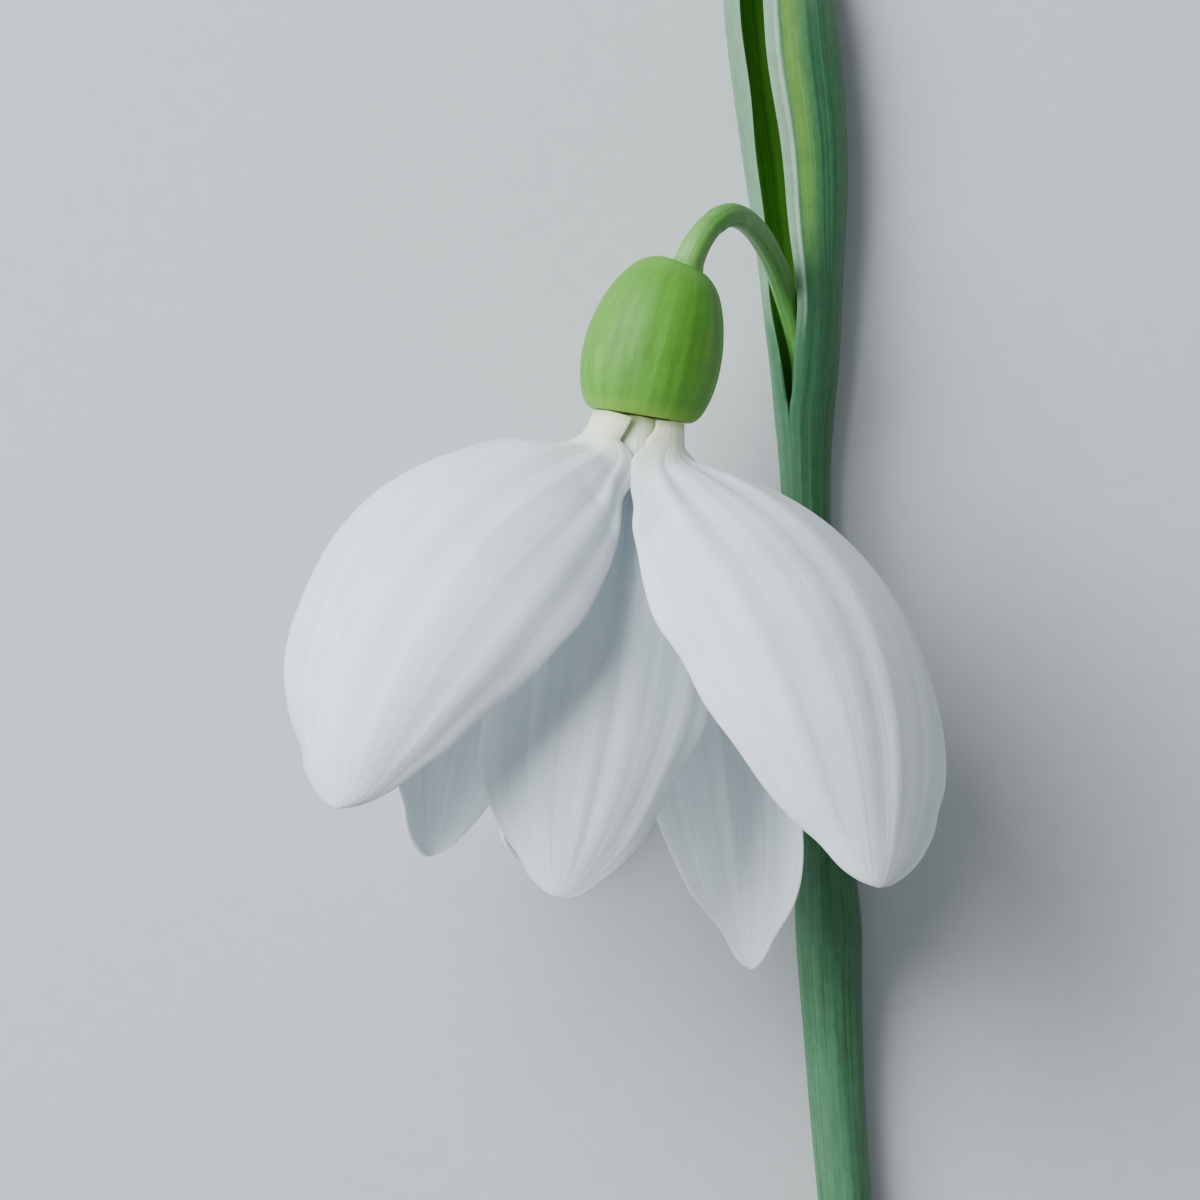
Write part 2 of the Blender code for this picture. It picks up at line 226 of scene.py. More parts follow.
def rampOf(tree, value, stops):
    ramp = addNode(tree, "ShaderNodeValToRGB", {"Fac": value})
    ramp.color_ramp.interpolation = "EASE"
    elements = ramp.color_ramp.elements
    while len(elements) < len(stops):
        elements.new(0.5)
    for element, (position, colour) in zip(elements, stops):
        element.position = position
        element.color = (*colour, 1.0) if len(colour) == 3 else colour
    return ramp.outputs["Color"]


def greyRamp(tree, value, *stops):
    return rampOf(tree, value, [(position, (level,) * 3) for position, level in stops])


def blendOf(tree, share, first, second, mode="MIX"):
    node = addNode(tree, "ShaderNodeMix", data_type="RGBA", blend_type=mode)
    for key, value in (("Factor", share), ("A", first), ("B", second)):
        socket = next(s for s in node.inputs if s.name == key and (
            s.type == ("VALUE" if key == "Factor" else "RGBA")))
        if isinstance(value, bpy.types.NodeSocket):
            tree.links.new(value, socket)
        else:
            socket.default_value = (*value, 1.0) if isinstance(value, tuple) else value
    return next(s for s in node.outputs if s.type == "RGBA")


def mathOf(tree, operation, first, second=0.0):
    node = addNode(tree, "ShaderNodeMath", operation=operation)
    for socket, value in zip(node.inputs, (first, second)):
        if isinstance(value, bpy.types.NodeSocket):
            tree.links.new(value, socket)
        else:
            socket.default_value = value
    return node.outputs[0]


def sumOf(tree, first, firstShare, second, secondShare):
    return mathOf(tree, "ADD", mathOf(tree, "MULTIPLY", first, firstShare),
                  mathOf(tree, "MULTIPLY", second, secondShare))


def bumpOf(tree, shader, height, distance, strength=1.0):
    bump = addNode(tree, "ShaderNodeBump", {
        "Height": height, "Distance": distance * mm, "Strength": strength})
    tree.links.new(bump.outputs[0], shader.inputs["Normal"])


def finishColour(tree, shader, colour):
    tree.links.new(colour, shader.inputs["Base Color"])


tepalLook = {
    "white": (0.80, 0.855, 0.885),
    "shade": (0.70, 0.775, 0.815),
    "claw": (0.79, 0.835, 0.60),
    "neck": (0.56, 0.68, 0.24),
    "roughness": 0.5,
    "ribsPerTepal": 10,
    "ribHeight": 0.062,
    "rimShare": 0.05,            # how much of the half width rounds off to the rim
    "rimThickness": 0.20,
    "clawLength": 1.6,
    "clawAngle": 12.0,
    "tipHalfWidth": 0.10,
    "wander": 0.10,              # how far the rim strays from its curve
    "wave": 0.16,                # how high the rim rolls
    "swell": 0.10,               # slow rise and fall over the whole blade
    "rows": 130,
    "columns": 64,
}

# what the tepals of one ring share: fullness towards claw and tip, then cupping at claw and blade
tepalRings = {
    "outer": dict(clawRadius=2.25, thickness=0.42, clawFill=0.5, tipFill=0.6, clawCup=50, cup=58),
    "inner": dict(clawRadius=1.42, thickness=0.38, clawFill=0.65, tipFill=0.65, clawCup=50, cup=42),
}

# azimuth, length, flare at claw and tip, width, twist at once and to the tip, half width of the tip,
# width of the claw, where a crease runs and how deep, a number that varies the surface,
# then notches in the rim: side, share of the length, depth, spread
tepals = {
    "outer_tepal_left": dict(
        azimuth=-46, length=28, flare=82, tipFlare=-12, width=17, twist=-20, tipTwist=0, lobe=2.0,
        claw=2.8, fold=(0.0, -0.05), seed=1.3,
        notches=((-1, 0.0, -0.5, 0.03), (-1, 0.06, -1.4, 0.035), (1, 0.1, 0.5, 0.04),
                 (-1, 0.91, 0.4, 0.03), (1, 0.93, 0.25, 0.03))),
    "outer_tepal_right": dict(
        azimuth=54, length=28.5, flare=80, tipFlare=0, width=16.5, twist=15, tipTwist=15, lobe=1.5,
        claw=2.4, fold=(0.0, -0.04), seed=2.9,
        notches=((-1, 0.04, -0.8, 0.02), (-1, 0.12, -0.3, 0.04), (-1, 0.3, -0.4, 0.15),
                 (1, 0.86, 0.25, 0.03), (-1, 0.94, 0.2, 0.03))),
    "outer_tepal_back": dict(
        azimuth=190, length=27.5, flare=66, tipFlare=-16, width=14, twist=0, tipTwist=0, lobe=1.0,
        claw=2.6, fold=(0.0, -0.14), seed=4.1,
        notches=((1, 0.93, 0.75, 0.04),)),
    "inner_tepal_front": dict(
        azimuth=-3, length=24.75, flare=24, tipFlare=2, width=12.5, twist=0, tipTwist=0, lobe=0.8,
        claw=2.75, fold=(0.0, -0.12), seed=5.7,
        notches=((-1, 0.93, 0.2, 0.03),)),
    "inner_tepal_right": dict(
        azimuth=112, length=28.5, flare=35, tipFlare=5, width=12, twist=-15, tipTwist=-15, lobe=0.6,
        claw=2.5, fold=(0.12, -0.34), seed=7.2,
        notches=((1, 0.935, 0.75, 0.05), (-1, 0.93, 0.3, 0.04))),
    "inner_tepal_left": dict(
        azimuth=-120, length=25.5, flare=48, tipFlare=-15, width=11, twist=10, tipTwist=15, lobe=0.8,
        claw=2.4, fold=(0.0, -0.14), seed=8.8,
        notches=((1, 0.9, 0.25, 0.03),)),
}


def tepalSkins(shape, ring, rows, columns):
    length, seed = shape["length"], shape["seed"]
    clawRadius, thickness = ring["clawRadius"], ring["thickness"]
    clawShare = tepalLook["clawLength"] / length
    s = 0.55 * 0.5 * (1 - np.cos(np.linspace(0, math.pi, rows))) + 0.45 * np.linspace(0, 1, rows)

    def flareAt(share):
        leaving = smoothStep(0, 1, (share - clawShare * 0.6) / (clawShare * 1.2))
        blade = np.clip((share - clawShare) / (1 - clawShare), 0, 1)
        opening = shape["flare"] + (shape["tipFlare"] - shape["flare"]) * blade
        return np.radians(tepalLook["clawAngle"] * (1 - leaving) + leaving * opening)

    dense = np.linspace(0, 1, 4000)
    middle = flareAt((dense[1:] + dense[:-1]) / 2)
    step = length / (len(dense) - 1)
    out = np.interp(s, dense, clawRadius + np.concatenate([[0], np.cumsum(np.sin(middle) * step)]))
    deep = np.interp(s, dense, np.concatenate([[0], np.cumsum(np.cos(middle) * step)]))
    azimuth = math.radians(shape["azimuth"])
    radial = np.array((math.sin(azimuth), -math.cos(azimuth), 0.0))
    midrib = out[:, None] * radial + deep[:, None] * down
    along = np.gradient(midrib, s, axis=0)
    along /= np.linalg.norm(along, axis=1)[:, None]
    flare = flareAt(s)
    facing = np.cos(flare)[:, None] * radial - np.sin(flare)[:, None] * down
    facing -= np.sum(facing * along, 1)[:, None] * along
    facing /= np.linalg.norm(facing, axis=1)[:, None]
    across = np.cross(facing, along)
    twist = np.radians(shape["twist"] * np.clip(s * 6, 0, 1) + shape["tipTwist"] * s)[:, None]
    across, facing = (np.cos(twist) * across + np.sin(twist) * facing,
                      np.cos(twist) * facing - np.sin(twist) * across)

    blade = np.clip((s - clawShare * 0.75) / (1 - clawShare * 0.75), 0, 1)
    clawFill, tipFill = ring["clawFill"], ring["tipFill"]
    widest = clawFill / (clawFill + tipFill)
    body = blade ** clawFill * (1 - blade) ** tipFill
    body /= widest ** clawFill * (1 - widest) ** tipFill
    lobe = shape["lobe"]
    lobeAt = 1 - lobe / length
    lobeRound = np.sqrt(np.clip(1 - ((s - lobeAt) / (1 - lobeAt)) ** 2, 0, 1))
    lobeWidth = lobe * np.where(s > lobeAt, lobeRound, hump(s, lobeAt, 0.03))
    claw = shape["claw"] / 2 * (1 - s) ** 5
    half = ((shape["width"] / 2 * body) ** 3 + claw ** 3 + lobeWidth ** 3) ** (1 / 3)
    half = np.maximum(half, tepalLook["tipHalfWidth"])

    steps = np.linspace(-1, 1, columns + 1)
    t = steps * (1.32 - 0.32 * steps ** 2)      # closer together towards the rim
    shares, turns = np.meshgrid(s, t, indexing="ij")
    width = np.repeat(half[:, None], columns + 1, 1)
    for side, share, depth, spread in shape["notches"]:
        width = width - depth * hump(shares, share, spread) * smoothStep(0.0, 1.0, turns * side)
    # the rim wanders a little
    wander = np.sin(shares * 23 + seed * 3 + np.sign(turns) * 1.7) * np.abs(turns) ** 3
    wander *= tepalLook["wander"]
    width = width + wander * smoothStep(0.2, 0.5, shares) * (1 - smoothStep(0.93, 1.0, shares))
    cup = np.radians(ring["clawCup"] + (ring["cup"] - ring["clawCup"]) * np.clip(s * 1.6, 0, 1))
    angle = cup[:, None] * turns
    sideways = width * np.sin(angle) / cup[:, None]
    inward = width * (1 - np.cos(angle)) / cup[:, None]
    surface = (midrib[:, None] + sideways[..., None] * across[:, None]
               - inward[..., None] * facing[:, None])
    normal = (np.cos(angle)[..., None] * facing[:, None] + np.sin(angle)[..., None] * across[:, None])

    # raised veins that run from the claw and meet again at the tip
    veins = tepalLook["ribsPerTepal"]
    wobble = 0.5 * np.sin(shares * 5 + seed) + 0.35 * np.sin(turns * 4.3 + seed * 2.1)
    ribs = np.cos(math.pi * veins * turns / 2 * 1.02 + wobble + seed)
    ribs += 0.5 * np.cos(math.pi * veins * 1.7 * turns / 2 + 1.4 * wobble + seed * 5)
    strength = smoothStep(0.03, 0.10, shares) * (1 - smoothStep(0.82, 1.0, shares))
    strength *= 1 - 0.7 * np.abs(turns) ** 4
    strength *= 1 + 1.1 * hump(shares, 0.13, 0.09)
    strength *= np.clip(half / half.max(), 0.3, 1)[:, None]
    lift = tepalLook["ribHeight"] * ribs * strength
    # the midrib lies in a shallow valley and the rim rolls in slow waves
    foldAt, foldDeep = shape["fold"]
    crease = foldDeep * hump(turns, foldAt, 0.16)
    lift += crease * smoothStep(0.05, 0.3, shares) * (1 - smoothStep(0.75, 1.0, shares))
    wave = tepalLook["wave"] * np.sin(shares * 15 + seed * 4 + np.sign(turns) * 2.0)
    lift += wave * np.abs(turns) ** 5 * smoothStep(0.25, 0.6, shares)
    swell = tepalLook["swell"] * np.sin(shares * 7 + turns * 2.2 + seed * 6)
    lift += swell * smoothStep(0.1, 0.3, shares) * (1 - smoothStep(0.9, 1.0, shares))
    surface = surface + normal * lift[..., None]

    rimThickness = tepalLook["rimThickness"]
    thin = rimThickness + (thickness - rimThickness) * (1 - turns ** 2) * (1 - shares ** 4)
    rim = np.clip((np.abs(turns) - 1 + tepalLook["rimShare"]) / tepalLook["rimShare"], 0, 1)
    rim = np.maximum(rim, np.clip((shares - 0.985) / 0.015, 0, 1))
    thin = thin * np.sqrt(1 - 0.94 * rim ** 2)
    step = normal * thin[..., None] / 2
    uv = np.stack([(turns + 1) / 2, shares], -1)
    return fromHead(surface + step), fromHead(surface - step), uv


def tepalFinish():
    look = tepalLook
    material, tree, shader = startMaterial(
        "tepalWhite", look["roughness"], sheen=0.12, subsurface=0.35, scatter=0.7, tint=(0.9, 1.0, 1.0))
    uv, place = uvOf(tree), placeOf(tree)
    share = addNode(tree, "ShaderNodeSeparateXYZ", {"Vector": uv}).outputs[1]
    veins = noiseOf(tree, uv, (21, 0.9, 1), detail=3, rough=0.5, distortion=0.15)
    cells = noiseOf(tree, uv, (230, 26, 1), detail=3, rough=0.6)
    mottle = noiseOf(tree, place, (260, 260, 260), detail=4)
    colour = blendOf(tree, greyRamp(tree, veins, (0.36, 0.0), (0.66, 0.9)), look["white"], look["shade"])
    cloud = greyRamp(tree, mottle, (0.35, 0.94), (0.65, 1.0))
    colour = blendOf(tree, 1.0, colour, cloud, "MULTIPLY")
    colour = blendOf(tree, greyRamp(tree, share, (0.035, 1.0), (0.085, 0.0)), colour, look["claw"])
    colour = blendOf(tree, greyRamp(tree, share, (0.0, 0.75), (0.018, 0.0)), colour, look["neck"])
    finishColour(tree, shader, colour)
    bumpOf(tree, shader, sumOf(tree, veins, 0.8, cells, 0.22), 0.07, 1.0)
    return material


def makeTepals():
    white = tepalFinish()
    for name, shape in tepals.items():
        ring = tepalRings[name.split("_")[0]]
        skins = tepalSkins(shape, ring, tepalLook["rows"], tepalLook["columns"])
        makePiece(name + "_petal", *sheetParts(*skins), [white], [name], "tepal_white")
    print("tepals made")


ovaryLook = {
    "length": 7.9,
    "bend": 13.0,
    "profile": ((0.00, 2.42), (0.008, 2.62), (0.035, 2.86), (0.09, 3.09), (0.18, 3.29), (0.30, 3.41),
                (0.45, 3.39), (0.60, 3.21), (0.75, 2.86), (0.87, 2.40), (0.94, 1.95), (0.985, 1.42),
                (1.00, 1.05)),
    "deep": (0.070, 0.230, 0.018),
    "green": (0.090, 0.290, 0.022),
    "streak": (0.135, 0.360, 0.045),
    "rim": (0.20, 0.38, 0.03),
    "roughness": 0.52,
}


def ovaryFinish():
    look = ovaryLook
    material, tree, shader = startMaterial(
        "ovaryGreen", look["roughness"], subsurface=0.12, scatter=0.5, tint=(0.4, 1.0, 0.3))
    uv, place = uvOf(tree), placeOf(tree)
    share = addNode(tree, "ShaderNodeSeparateXYZ", {"Vector": uv}).outputs[1]
    streaks = noiseOf(tree, uv, (30, 1.3, 1), detail=4, rough=0.55, distortion=0.4)
    mottle = noiseOf(tree, place, (900, 900, 900), detail=4)
    specks = noiseOf(tree, uv, (260, 60, 1), detail=2)
    colour = rampOf(tree, streaks, [(0.28, look["deep"]), (0.50, look["green"]), (0.78, look["streak"])])
    colour = blendOf(tree, 1.0, colour, greyRamp(tree, mottle, (0.3, 0.9), (0.7, 1.0)), "MULTIPLY")
    colour = blendOf(tree, greyRamp(tree, share, (0.0, 0.9), (0.035, 0.5), (0.11, 0.0)), colour, look["rim"])
    colour = blendOf(tree, greyRamp(tree, share, (0.86, 0.0), (1.0, 0.55)), colour, look["streak"])
    finishColour(tree, shader, colour)
    bumpOf(tree, shader, sumOf(tree, streaks, 0.6, specks, 0.3), 0.06, 0.9)
    return material


def makeOvary():
    look = ovaryLook
    bend = math.radians(look["bend"])
    bendRadius = look["length"] / bend
    turns = np.linspace(0, 2 * math.pi, 120, endpoint=False)
    rings = []
    for share, radius in smoothCurve(look["profile"], 7):
        angle = bend * share
        centre = np.array((bendRadius * (1 - math.cos(angle)), 0, bendRadius * math.sin(angle) + 0.10))
        side = np.array((math.cos(angle), 0, -math.sin(angle)))
        depth = np.array((0.0, 1.0, 0.0))
        fold = math.sin(math.pi * min(max(share, 0), 1)) ** 0.7
        # three faint lobes with finer ridges over them
        around = 1 + fold * (0.012 * np.cos(3 * turns + 0.6) + 0.006 * np.cos(6 * turns + 2.0)
                             + 0.0030 * np.cos(19 * turns + 3 * share) + 0.0022 * np.cos(31 * turns + 1.0))
        ring = radius * around * (1 + 0.035 * fold * np.clip(-np.cos(turns), 0, 1))
        rings.append(centre + ring[:, None] * (np.cos(turns)[:, None] * side
                                               + np.sin(turns)[:, None] * depth))
    points, faces, uvs = ringParts(rings)
    makePiece("ovary_body", fromHead(points), faces, uvs, [ovaryFinish()], ["ovary"], "ovary_green")
    print("ovary made")


scapeLook = {
    "deep": (0.035, 0.125, 0.045),
    "green": (0.060, 0.185, 0.085),
    "light": (0.095, 0.225, 0.125),
    "cut": (0.34, 0.50, 0.20),
    "roughness": 0.5,
    "radius": 1.39,
    "topRadius": 1.72,
    "topHeight": 1.76,           # the axis height where the sheath starts
    "route": ((14.6, -48.0), (13.3, -37.0), (12.45, -28.0), (12.05, -21.5), (11.91, -18.5),
              (11.9, -17.79)),
}
pedicelLook = {
    "deep": (0.045, 0.165, 0.022),
    "green": (0.085, 0.27, 0.045),
    "light": (0.17, 0.40, 0.085),
    "roughness": 0.45,
    "radius": 0.62,
    "headRadius": 0.77,          # where it meets the ovary
    "route": (
        (4.34, 16.68, 13.28), (4.80, 17.75, 13.22), (5.50, 18.72, 12.80), (6.35, 19.30, 11.90),
        (7.15, 19.28, 10.45), (7.85, 18.85, 8.60), (8.45, 18.15, 6.65), (9.02, 17.20, 4.75),
        (9.54, 15.90, 3.14), (10.08, 14.20, 2.13), (10.48, 12.30, 1.70), (10.62, 10.20, 1.48),
        (10.66, 7.50, 1.40), (10.76, 4.00, 1.34), (10.98, 0.0, 1.36), (11.40, -8.0, 1.46),
        (11.86, -17.0, 1.74)),
}


def stalkStops(look):
    return [(0.30, look["deep"]), (0.52, look["green"]), (0.74, look["light"])]


def stalkFinish(name, look, lines):
    material, tree, shader = startMaterial(
        name, look["roughness"], sheen=0.03, subsurface=0.08, scatter=0.4, tint=(0.4, 1.0, 0.4))
    uv, place = uvOf(tree), placeOf(tree)
    streaks = noiseOf(tree, uv, (lines, 3.0, 1), detail=4, rough=0.6, distortion=0.2)
    bloom = noiseOf(tree, place, (320, 140, 320), detail=5)
    specks = noiseOf(tree, place, (2600, 1300, 2600), detail=2)
    share = addNode(tree, "ShaderNodeSeparateXYZ", {"Vector": uv}).outputs[1]
    colour = rampOf(tree, streaks, stalkStops(look))
    colour = blendOf(tree, greyRamp(tree, bloom, (0.42, 0.0), (0.68, 0.35)), colour, look["light"])
    colour = blendOf(tree, greyRamp(tree, share, (0.0, 0.7), (0.07, 0.0)), colour, look["light"])
    colour = blendOf(tree, 1.0, colour, greyRamp(tree, specks, (0.3, 0.86), (0.6, 1.0)), "MULTIPLY")
    finishColour(tree, shader, colour)
    bumpOf(tree, shader, sumOf(tree, streaks, 0.6, specks, 0.3), 0.05, 0.9)
    return material


def cutFinish():
    material, tree, shader = startMaterial("cutStem", 0.35, coat=0.2, subsurface=0.3, scatter=0.4)
    place = placeOf(tree)
    mapped = addNode(tree, "ShaderNodeMapping", {"Vector": place, "Scale": (3600, 3600, 3600)})
    pores = addNode(tree, "ShaderNodeTexVoronoi", {"Vector": mapped.outputs[0], "Scale": 1.0})
    cells = pores.outputs["Distance"]
    colour = rampOf(tree, cells, [
        (0.05, (0.12, 0.24, 0.06)), (0.25, scapeLook["cut"]), (0.7, (0.48, 0.60, 0.30))])
    finishColour(tree, shader, colour)
    bumpOf(tree, shader, cells, 0.05, 0.8)
    return material


def makeScape():
    look = scapeLook
    plan = smoothCurve(look["route"], 30)
    share = np.linspace(0, 1, len(plan))
    swell = np.clip((plan[:, 1] + 40) / 22, 0, 1) ** 3
    radii = look["radius"] + (look["topRadius"] - look["radius"]) * swell
    centres = np.column_stack([plan, radii + (look["topHeight"] - look["topRadius"]) * swell]) + plantShift
    radii = radii * np.where(share < 0.004, 0.95, 1.0)

    def ridges(turns, at):
        return 0.010 * np.cos(9 * turns + 1.2 * at) + 0.006 * np.cos(23 * turns + 2.0)

    def lifted(turns, at):      # no ridge goes under the surface
        return ridges(turns, at) - 0.014

    rings = tubeRings(centres, radii, 96, lifted)
    points, faces, uvs = ringParts(rings)
    green = stalkFinish("scapeGreen", look, 52)
    kinds = np.zeros(len(faces), int)
    kinds[-2 * 96:-96] = 1
    makePiece("scape_stem", points, faces, uvs, [green, cutFinish()], ["scape"], "scape_green", kinds)
    print("scape made")


def makePedicel():
    look = pedicelLook
    centres = smoothCurve(look["route"], 14) + plantShift
    share = np.linspace(0, 1, len(centres))
    radii = look["radius"] + (look["headRadius"] - look["radius"]) * (1 - smoothStep(0, 0.16, share))
    radii = radii + 0.10 * hump(share, 0.0, 0.012) + 0.035 * hump(share, 0.15, 0.012)

    def ridges(turns, at):
        return 0.020 * np.cos(5 * turns + 2 * at) + 0.010 * np.cos(11 * turns + 1.0) - 0.02

    points, faces, uvs = ringParts(tubeRings(centres, radii, 48, ridges))
    green = stalkFinish("pedicelGreen", look, 26)
    makePiece("pedicel_stalk", points, faces, uvs, [green], ["pedicel"], "pedicel_green")
    print("pedicel made")


spatheLook = {
    "slitSide": 123.0,
    "deep": (0.030, 0.120, 0.045),
    "green": (0.050, 0.170, 0.075),
    "bright": (0.15, 0.33, 0.05),
    "pale": (0.17, 0.30, 0.19),
    # painted highlight: the pale colour of the bright line along the keel ridge
    "keelHighlight": (0.32, 0.45, 0.34),
    "inside": (0.22, 0.50, 0.075),
    "roughness": 0.46,
    # along, across, half width, half depth, half angle of the slit, wall
    "sections": (
        (-17.81, 11.90, 1.735, 1.735, 1.2, 0.42), (-16.2, 11.82, 1.72, 1.72, 1.2, 0.38),
        (-12.0, 11.60, 1.50, 1.52, 1.2, 0.34), (-4.0, 11.15, 1.34, 1.38, 1.2, 0.32),
        (3.0, 10.80, 1.25, 1.30, 1.2, 0.32), (7.0, 10.66, 1.36, 1.34, 1.2, 0.32),
        (9.6, 10.62, 1.58, 1.44, 1.6, 0.32), (10.9, 10.62, 1.70, 1.52, 8.0, 0.32),
        (12.4, 10.60, 1.84, 1.60, 13.0, 0.32), (14.0, 10.55, 1.98, 1.68, 19.0, 0.32),
        (15.4, 10.50, 2.08, 1.74, 23.0, 0.32), (17.2, 10.44, 2.22, 1.80, 22.5, 0.32),
        (19.4, 10.36, 2.44, 1.86, 19.0, 0.32), (22.0, 10.20, 2.68, 1.92, 16.5, 0.32),
        (25.2, 9.92, 2.88, 1.98, 15.0, 0.32), (28.6, 9.56, 2.96, 1.98, 14.0, 0.32),
        (31.6, 9.22, 2.86, 1.90, 14.0, 0.32), (34.4, 8.90, 2.46, 1.70, 14.0, 0.32),
        (36.8, 8.62, 1.82, 1.36, 14.0, 0.32), (38.6, 8.42, 1.18, 1.00, 14.0, 0.30),
        (39.8, 8.28, 0.70, 0.68, 14.0, 0.28),
    ),
}


def spatheFinish():
    look = spatheLook
    material, tree, shader = startMaterial(
        "spatheGreen", look["roughness"], sheen=0.05, subsurface=0.1, scatter=0.4, tint=(0.4, 1.0, 0.5))
    uv, place = uvOf(tree), placeOf(tree)
    parts = addNode(tree, "ShaderNodeSeparateXYZ", {"Vector": uv})
    around, along = parts.outputs[0], parts.outputs[1]
    streaks = noiseOf(tree, uv, (70, 2.0, 1), detail=4, rough=0.6, distortion=0.15)
    bloom = noiseOf(tree, place, (260, 90, 260), detail=5)
    specks = noiseOf(tree, place, (2400, 1200, 2400), detail=2)
    colour = rampOf(tree, streaks, [(0.30, look["deep"]), (0.58, look["green"]), (0.80, look["bright"])])
    colour = blendOf(tree, greyRamp(tree, bloom, (0.45, 0.0), (0.75, 0.35)), colour, look["pale"])
    # bands along the two free edges: a green keel, a pale line painted on the keel ridge as a painted
    # highlight, then the thin pale margin
    keel = greyRamp(tree, around, (0.86, 0.0), (0.935, 0.9), (0.955, 0.0))
    keel = mathOf(tree, "MULTIPLY", keel, greyRamp(tree, along, (0.50, 0.0), (0.66, 1.0)))
    colour = blendOf(tree, keel, colour, look["bright"])
    margin = greyRamp(tree, around, (0.952, 0.0), (0.962, 0.9), (1.0, 1.0))
    other = greyRamp(tree, around, (0.0, 0.8), (0.09, 0.65), (0.125, 0.0))
    outer = greyRamp(tree, around, (0.10, 0.0), (0.135, 0.7), (0.175, 0.0))
    edges = mathOf(tree, "MAXIMUM", margin, other)
    upper = greyRamp(tree, along, (0.42, 0.0), (0.54, 1.0))
    edges = mathOf(tree, "MULTIPLY", edges, upper)
    colour = blendOf(tree, edges, colour, look["pale"])
    colour = blendOf(tree, mathOf(tree, "MULTIPLY", outer, upper), colour, look["bright"])
    # painted highlight: a pale streak along the keel ridge, where the ridge catches the light
    highlightLine = greyRamp(tree, around, (0.950, 0.0), (0.962, 0.8), (0.974, 0.0))
    colour = blendOf(tree, mathOf(tree, "MULTIPLY", highlightLine, upper), colour, look["keelHighlight"])
    # the foot takes the colour of the scape that it grows from
    foot = greyRamp(tree, along, (0.0, 1.0), (0.03, 0.85), (0.12, 0.0))
    colour = blendOf(tree, foot, colour, rampOf(tree, streaks, stalkStops(scapeLook)))
    colour = blendOf(tree, 1.0, colour, greyRamp(tree, specks, (0.3, 0.86), (0.6, 1.0)), "MULTIPLY")
    finishColour(tree, shader, colour)
    bumpOf(tree, shader, sumOf(tree, streaks, 0.6, specks, 0.3), 0.06, 0.9)
    return material


def insideFinish():
    material, tree, shader = startMaterial("spatheInside", 0.4, coat=0.05)
    uv = uvOf(tree)
    streaks = noiseOf(tree, uv, (60, 2.5, 1), detail=3)
    colour = rampOf(tree, streaks, [(0.3, (0.12, 0.34, 0.04)), (0.7, spatheLook["inside"])])
    finishColour(tree, shader, colour)
    bumpOf(tree, shader, streaks, 0.05, 0.7)
    return material


def makeSpathe():
    sections = smoothCurve(spatheLook["sections"], 9)
    sections[:, 2:4] = np.maximum(sections[:, 2:4], 0.3)
    columns = 90
    a = np.linspace(0, 1, columns + 1)
    outside, inside, uv = [], [], []
    last = len(sections) - 1
    for i, (along, across, halfWidth, halfDepth, slit, wall) in enumerate(sections):
        share = i / last
        upper = float(smoothStep(9.0, 16.0, along))
        parted = float(smoothStep(7.5, 10.8, along))      # below this the two edges are grown together
        slit = 0.03 + (slit - 0.03) * parted
        # both free edges wander a little
        start = spatheLook["slitSide"] + slit + upper * 1.5 * math.sin(along * 0.9)
        end = spatheLook["slitSide"] - slit + 360 + upper * 1.5 * math.sin(along * 0.7 + 1.0)
        turns = np.radians(start + (end - start) * a)
        centre = np.array((across, along, halfDepth)) + plantShift
        direction = np.stack([np.cos(turns), 0 * turns, np.sin(turns)], 1)
        # keels near both edges, and fine lines the whole way round
        keel = 0.10 * hump(a, 0.955, 0.014) + 0.07 * hump(a, 0.07, 0.02)
        keel = keel * upper * (1 - float(smoothStep(36.0, 39.5, along)))
        lines = 0.014 * np.cos(a * 2 * math.pi * 17 + 0.05 * along) + 0.008 * np.cos(a * 2 * math.pi * 37)
        under = np.clip(-np.sin(turns) - 0.6, 0, 0.4) / 0.4     # flat lines where it lies on the surface
        rim = parted * np.clip((np.abs(2 * a - 1) - 0.975) / 0.025, 0, 1)
        thin = wall * (1 - 0.45 * upper * smoothStep(0.80, 0.97, np.abs(2 * a - 1)))
        trim = thin * (1 - np.sqrt(1 - 0.9 * rim ** 2)) / 2
        lift = keel + (lines - 0.02) * (1 - under) - trim
        outside.append(centre + direction * (halfWidth, 0, halfDepth) + direction * lift[:, None])
        inner = np.stack([halfWidth - thin + trim, 0 * a, halfDepth - thin + trim], 1)
        inside.append(centre + direction * inner)
        uv.append(np.stack([a, 0 * a + share], 1))
    outside, inside, uv = np.array(outside), np.array(inside), np.array(uv)
    points, faces, uvs = sheetParts(outside, inside, uv)
    kinds = np.zeros(len(faces), int)
    skin = (len(sections) - 1) * columns
    kinds[skin:2 * skin] = 1
    makePiece("spathe_hood", points, faces, uvs, [spatheFinish(), insideFinish()], ["spathe"],
              "spathe_green", kinds)
    print("spathe made")


stamenLook = {
    "count": 6,
    "ring": 0.60,
    "filamentRadius": 0.17,
    "filamentLength": 1.3,
    "antherRadius": 0.42,
    "antherLength": 5.2,
    "lean": 8.0,
    "gap": 0.05,
    "orange": (0.92, 0.56, 0.10),
    "filament": (0.80, 0.86, 0.66),
}
styleLook = {"colour": (0.78, 0.85, 0.62), "radius": 0.22, "length": 8.6}
discLook = {
    "colour": (0.16, 0.36, 0.06),
    "profile": ((0.0, 0.90), (0.03, 0.92), (0.3, 0.92), (0.42, 0.88), (0.48, 0.80), (0.5, 0.72)),
}


def plainFinish(name, light, depth, roughness, scale, subsurface=0.2):
    material, tree, shader = startMaterial(name, roughness, subsurface=subsurface, scatter=0.3)
    grain = noiseOf(tree, placeOf(tree), (scale, scale, scale), detail=4)
    deep = tuple(part * depth for part in light)
    finishColour(tree, shader, rampOf(tree, grain, [(0.3, deep), (0.7, light)]))
    bumpOf(tree, shader, grain, 0.03, 0.8)
    return material


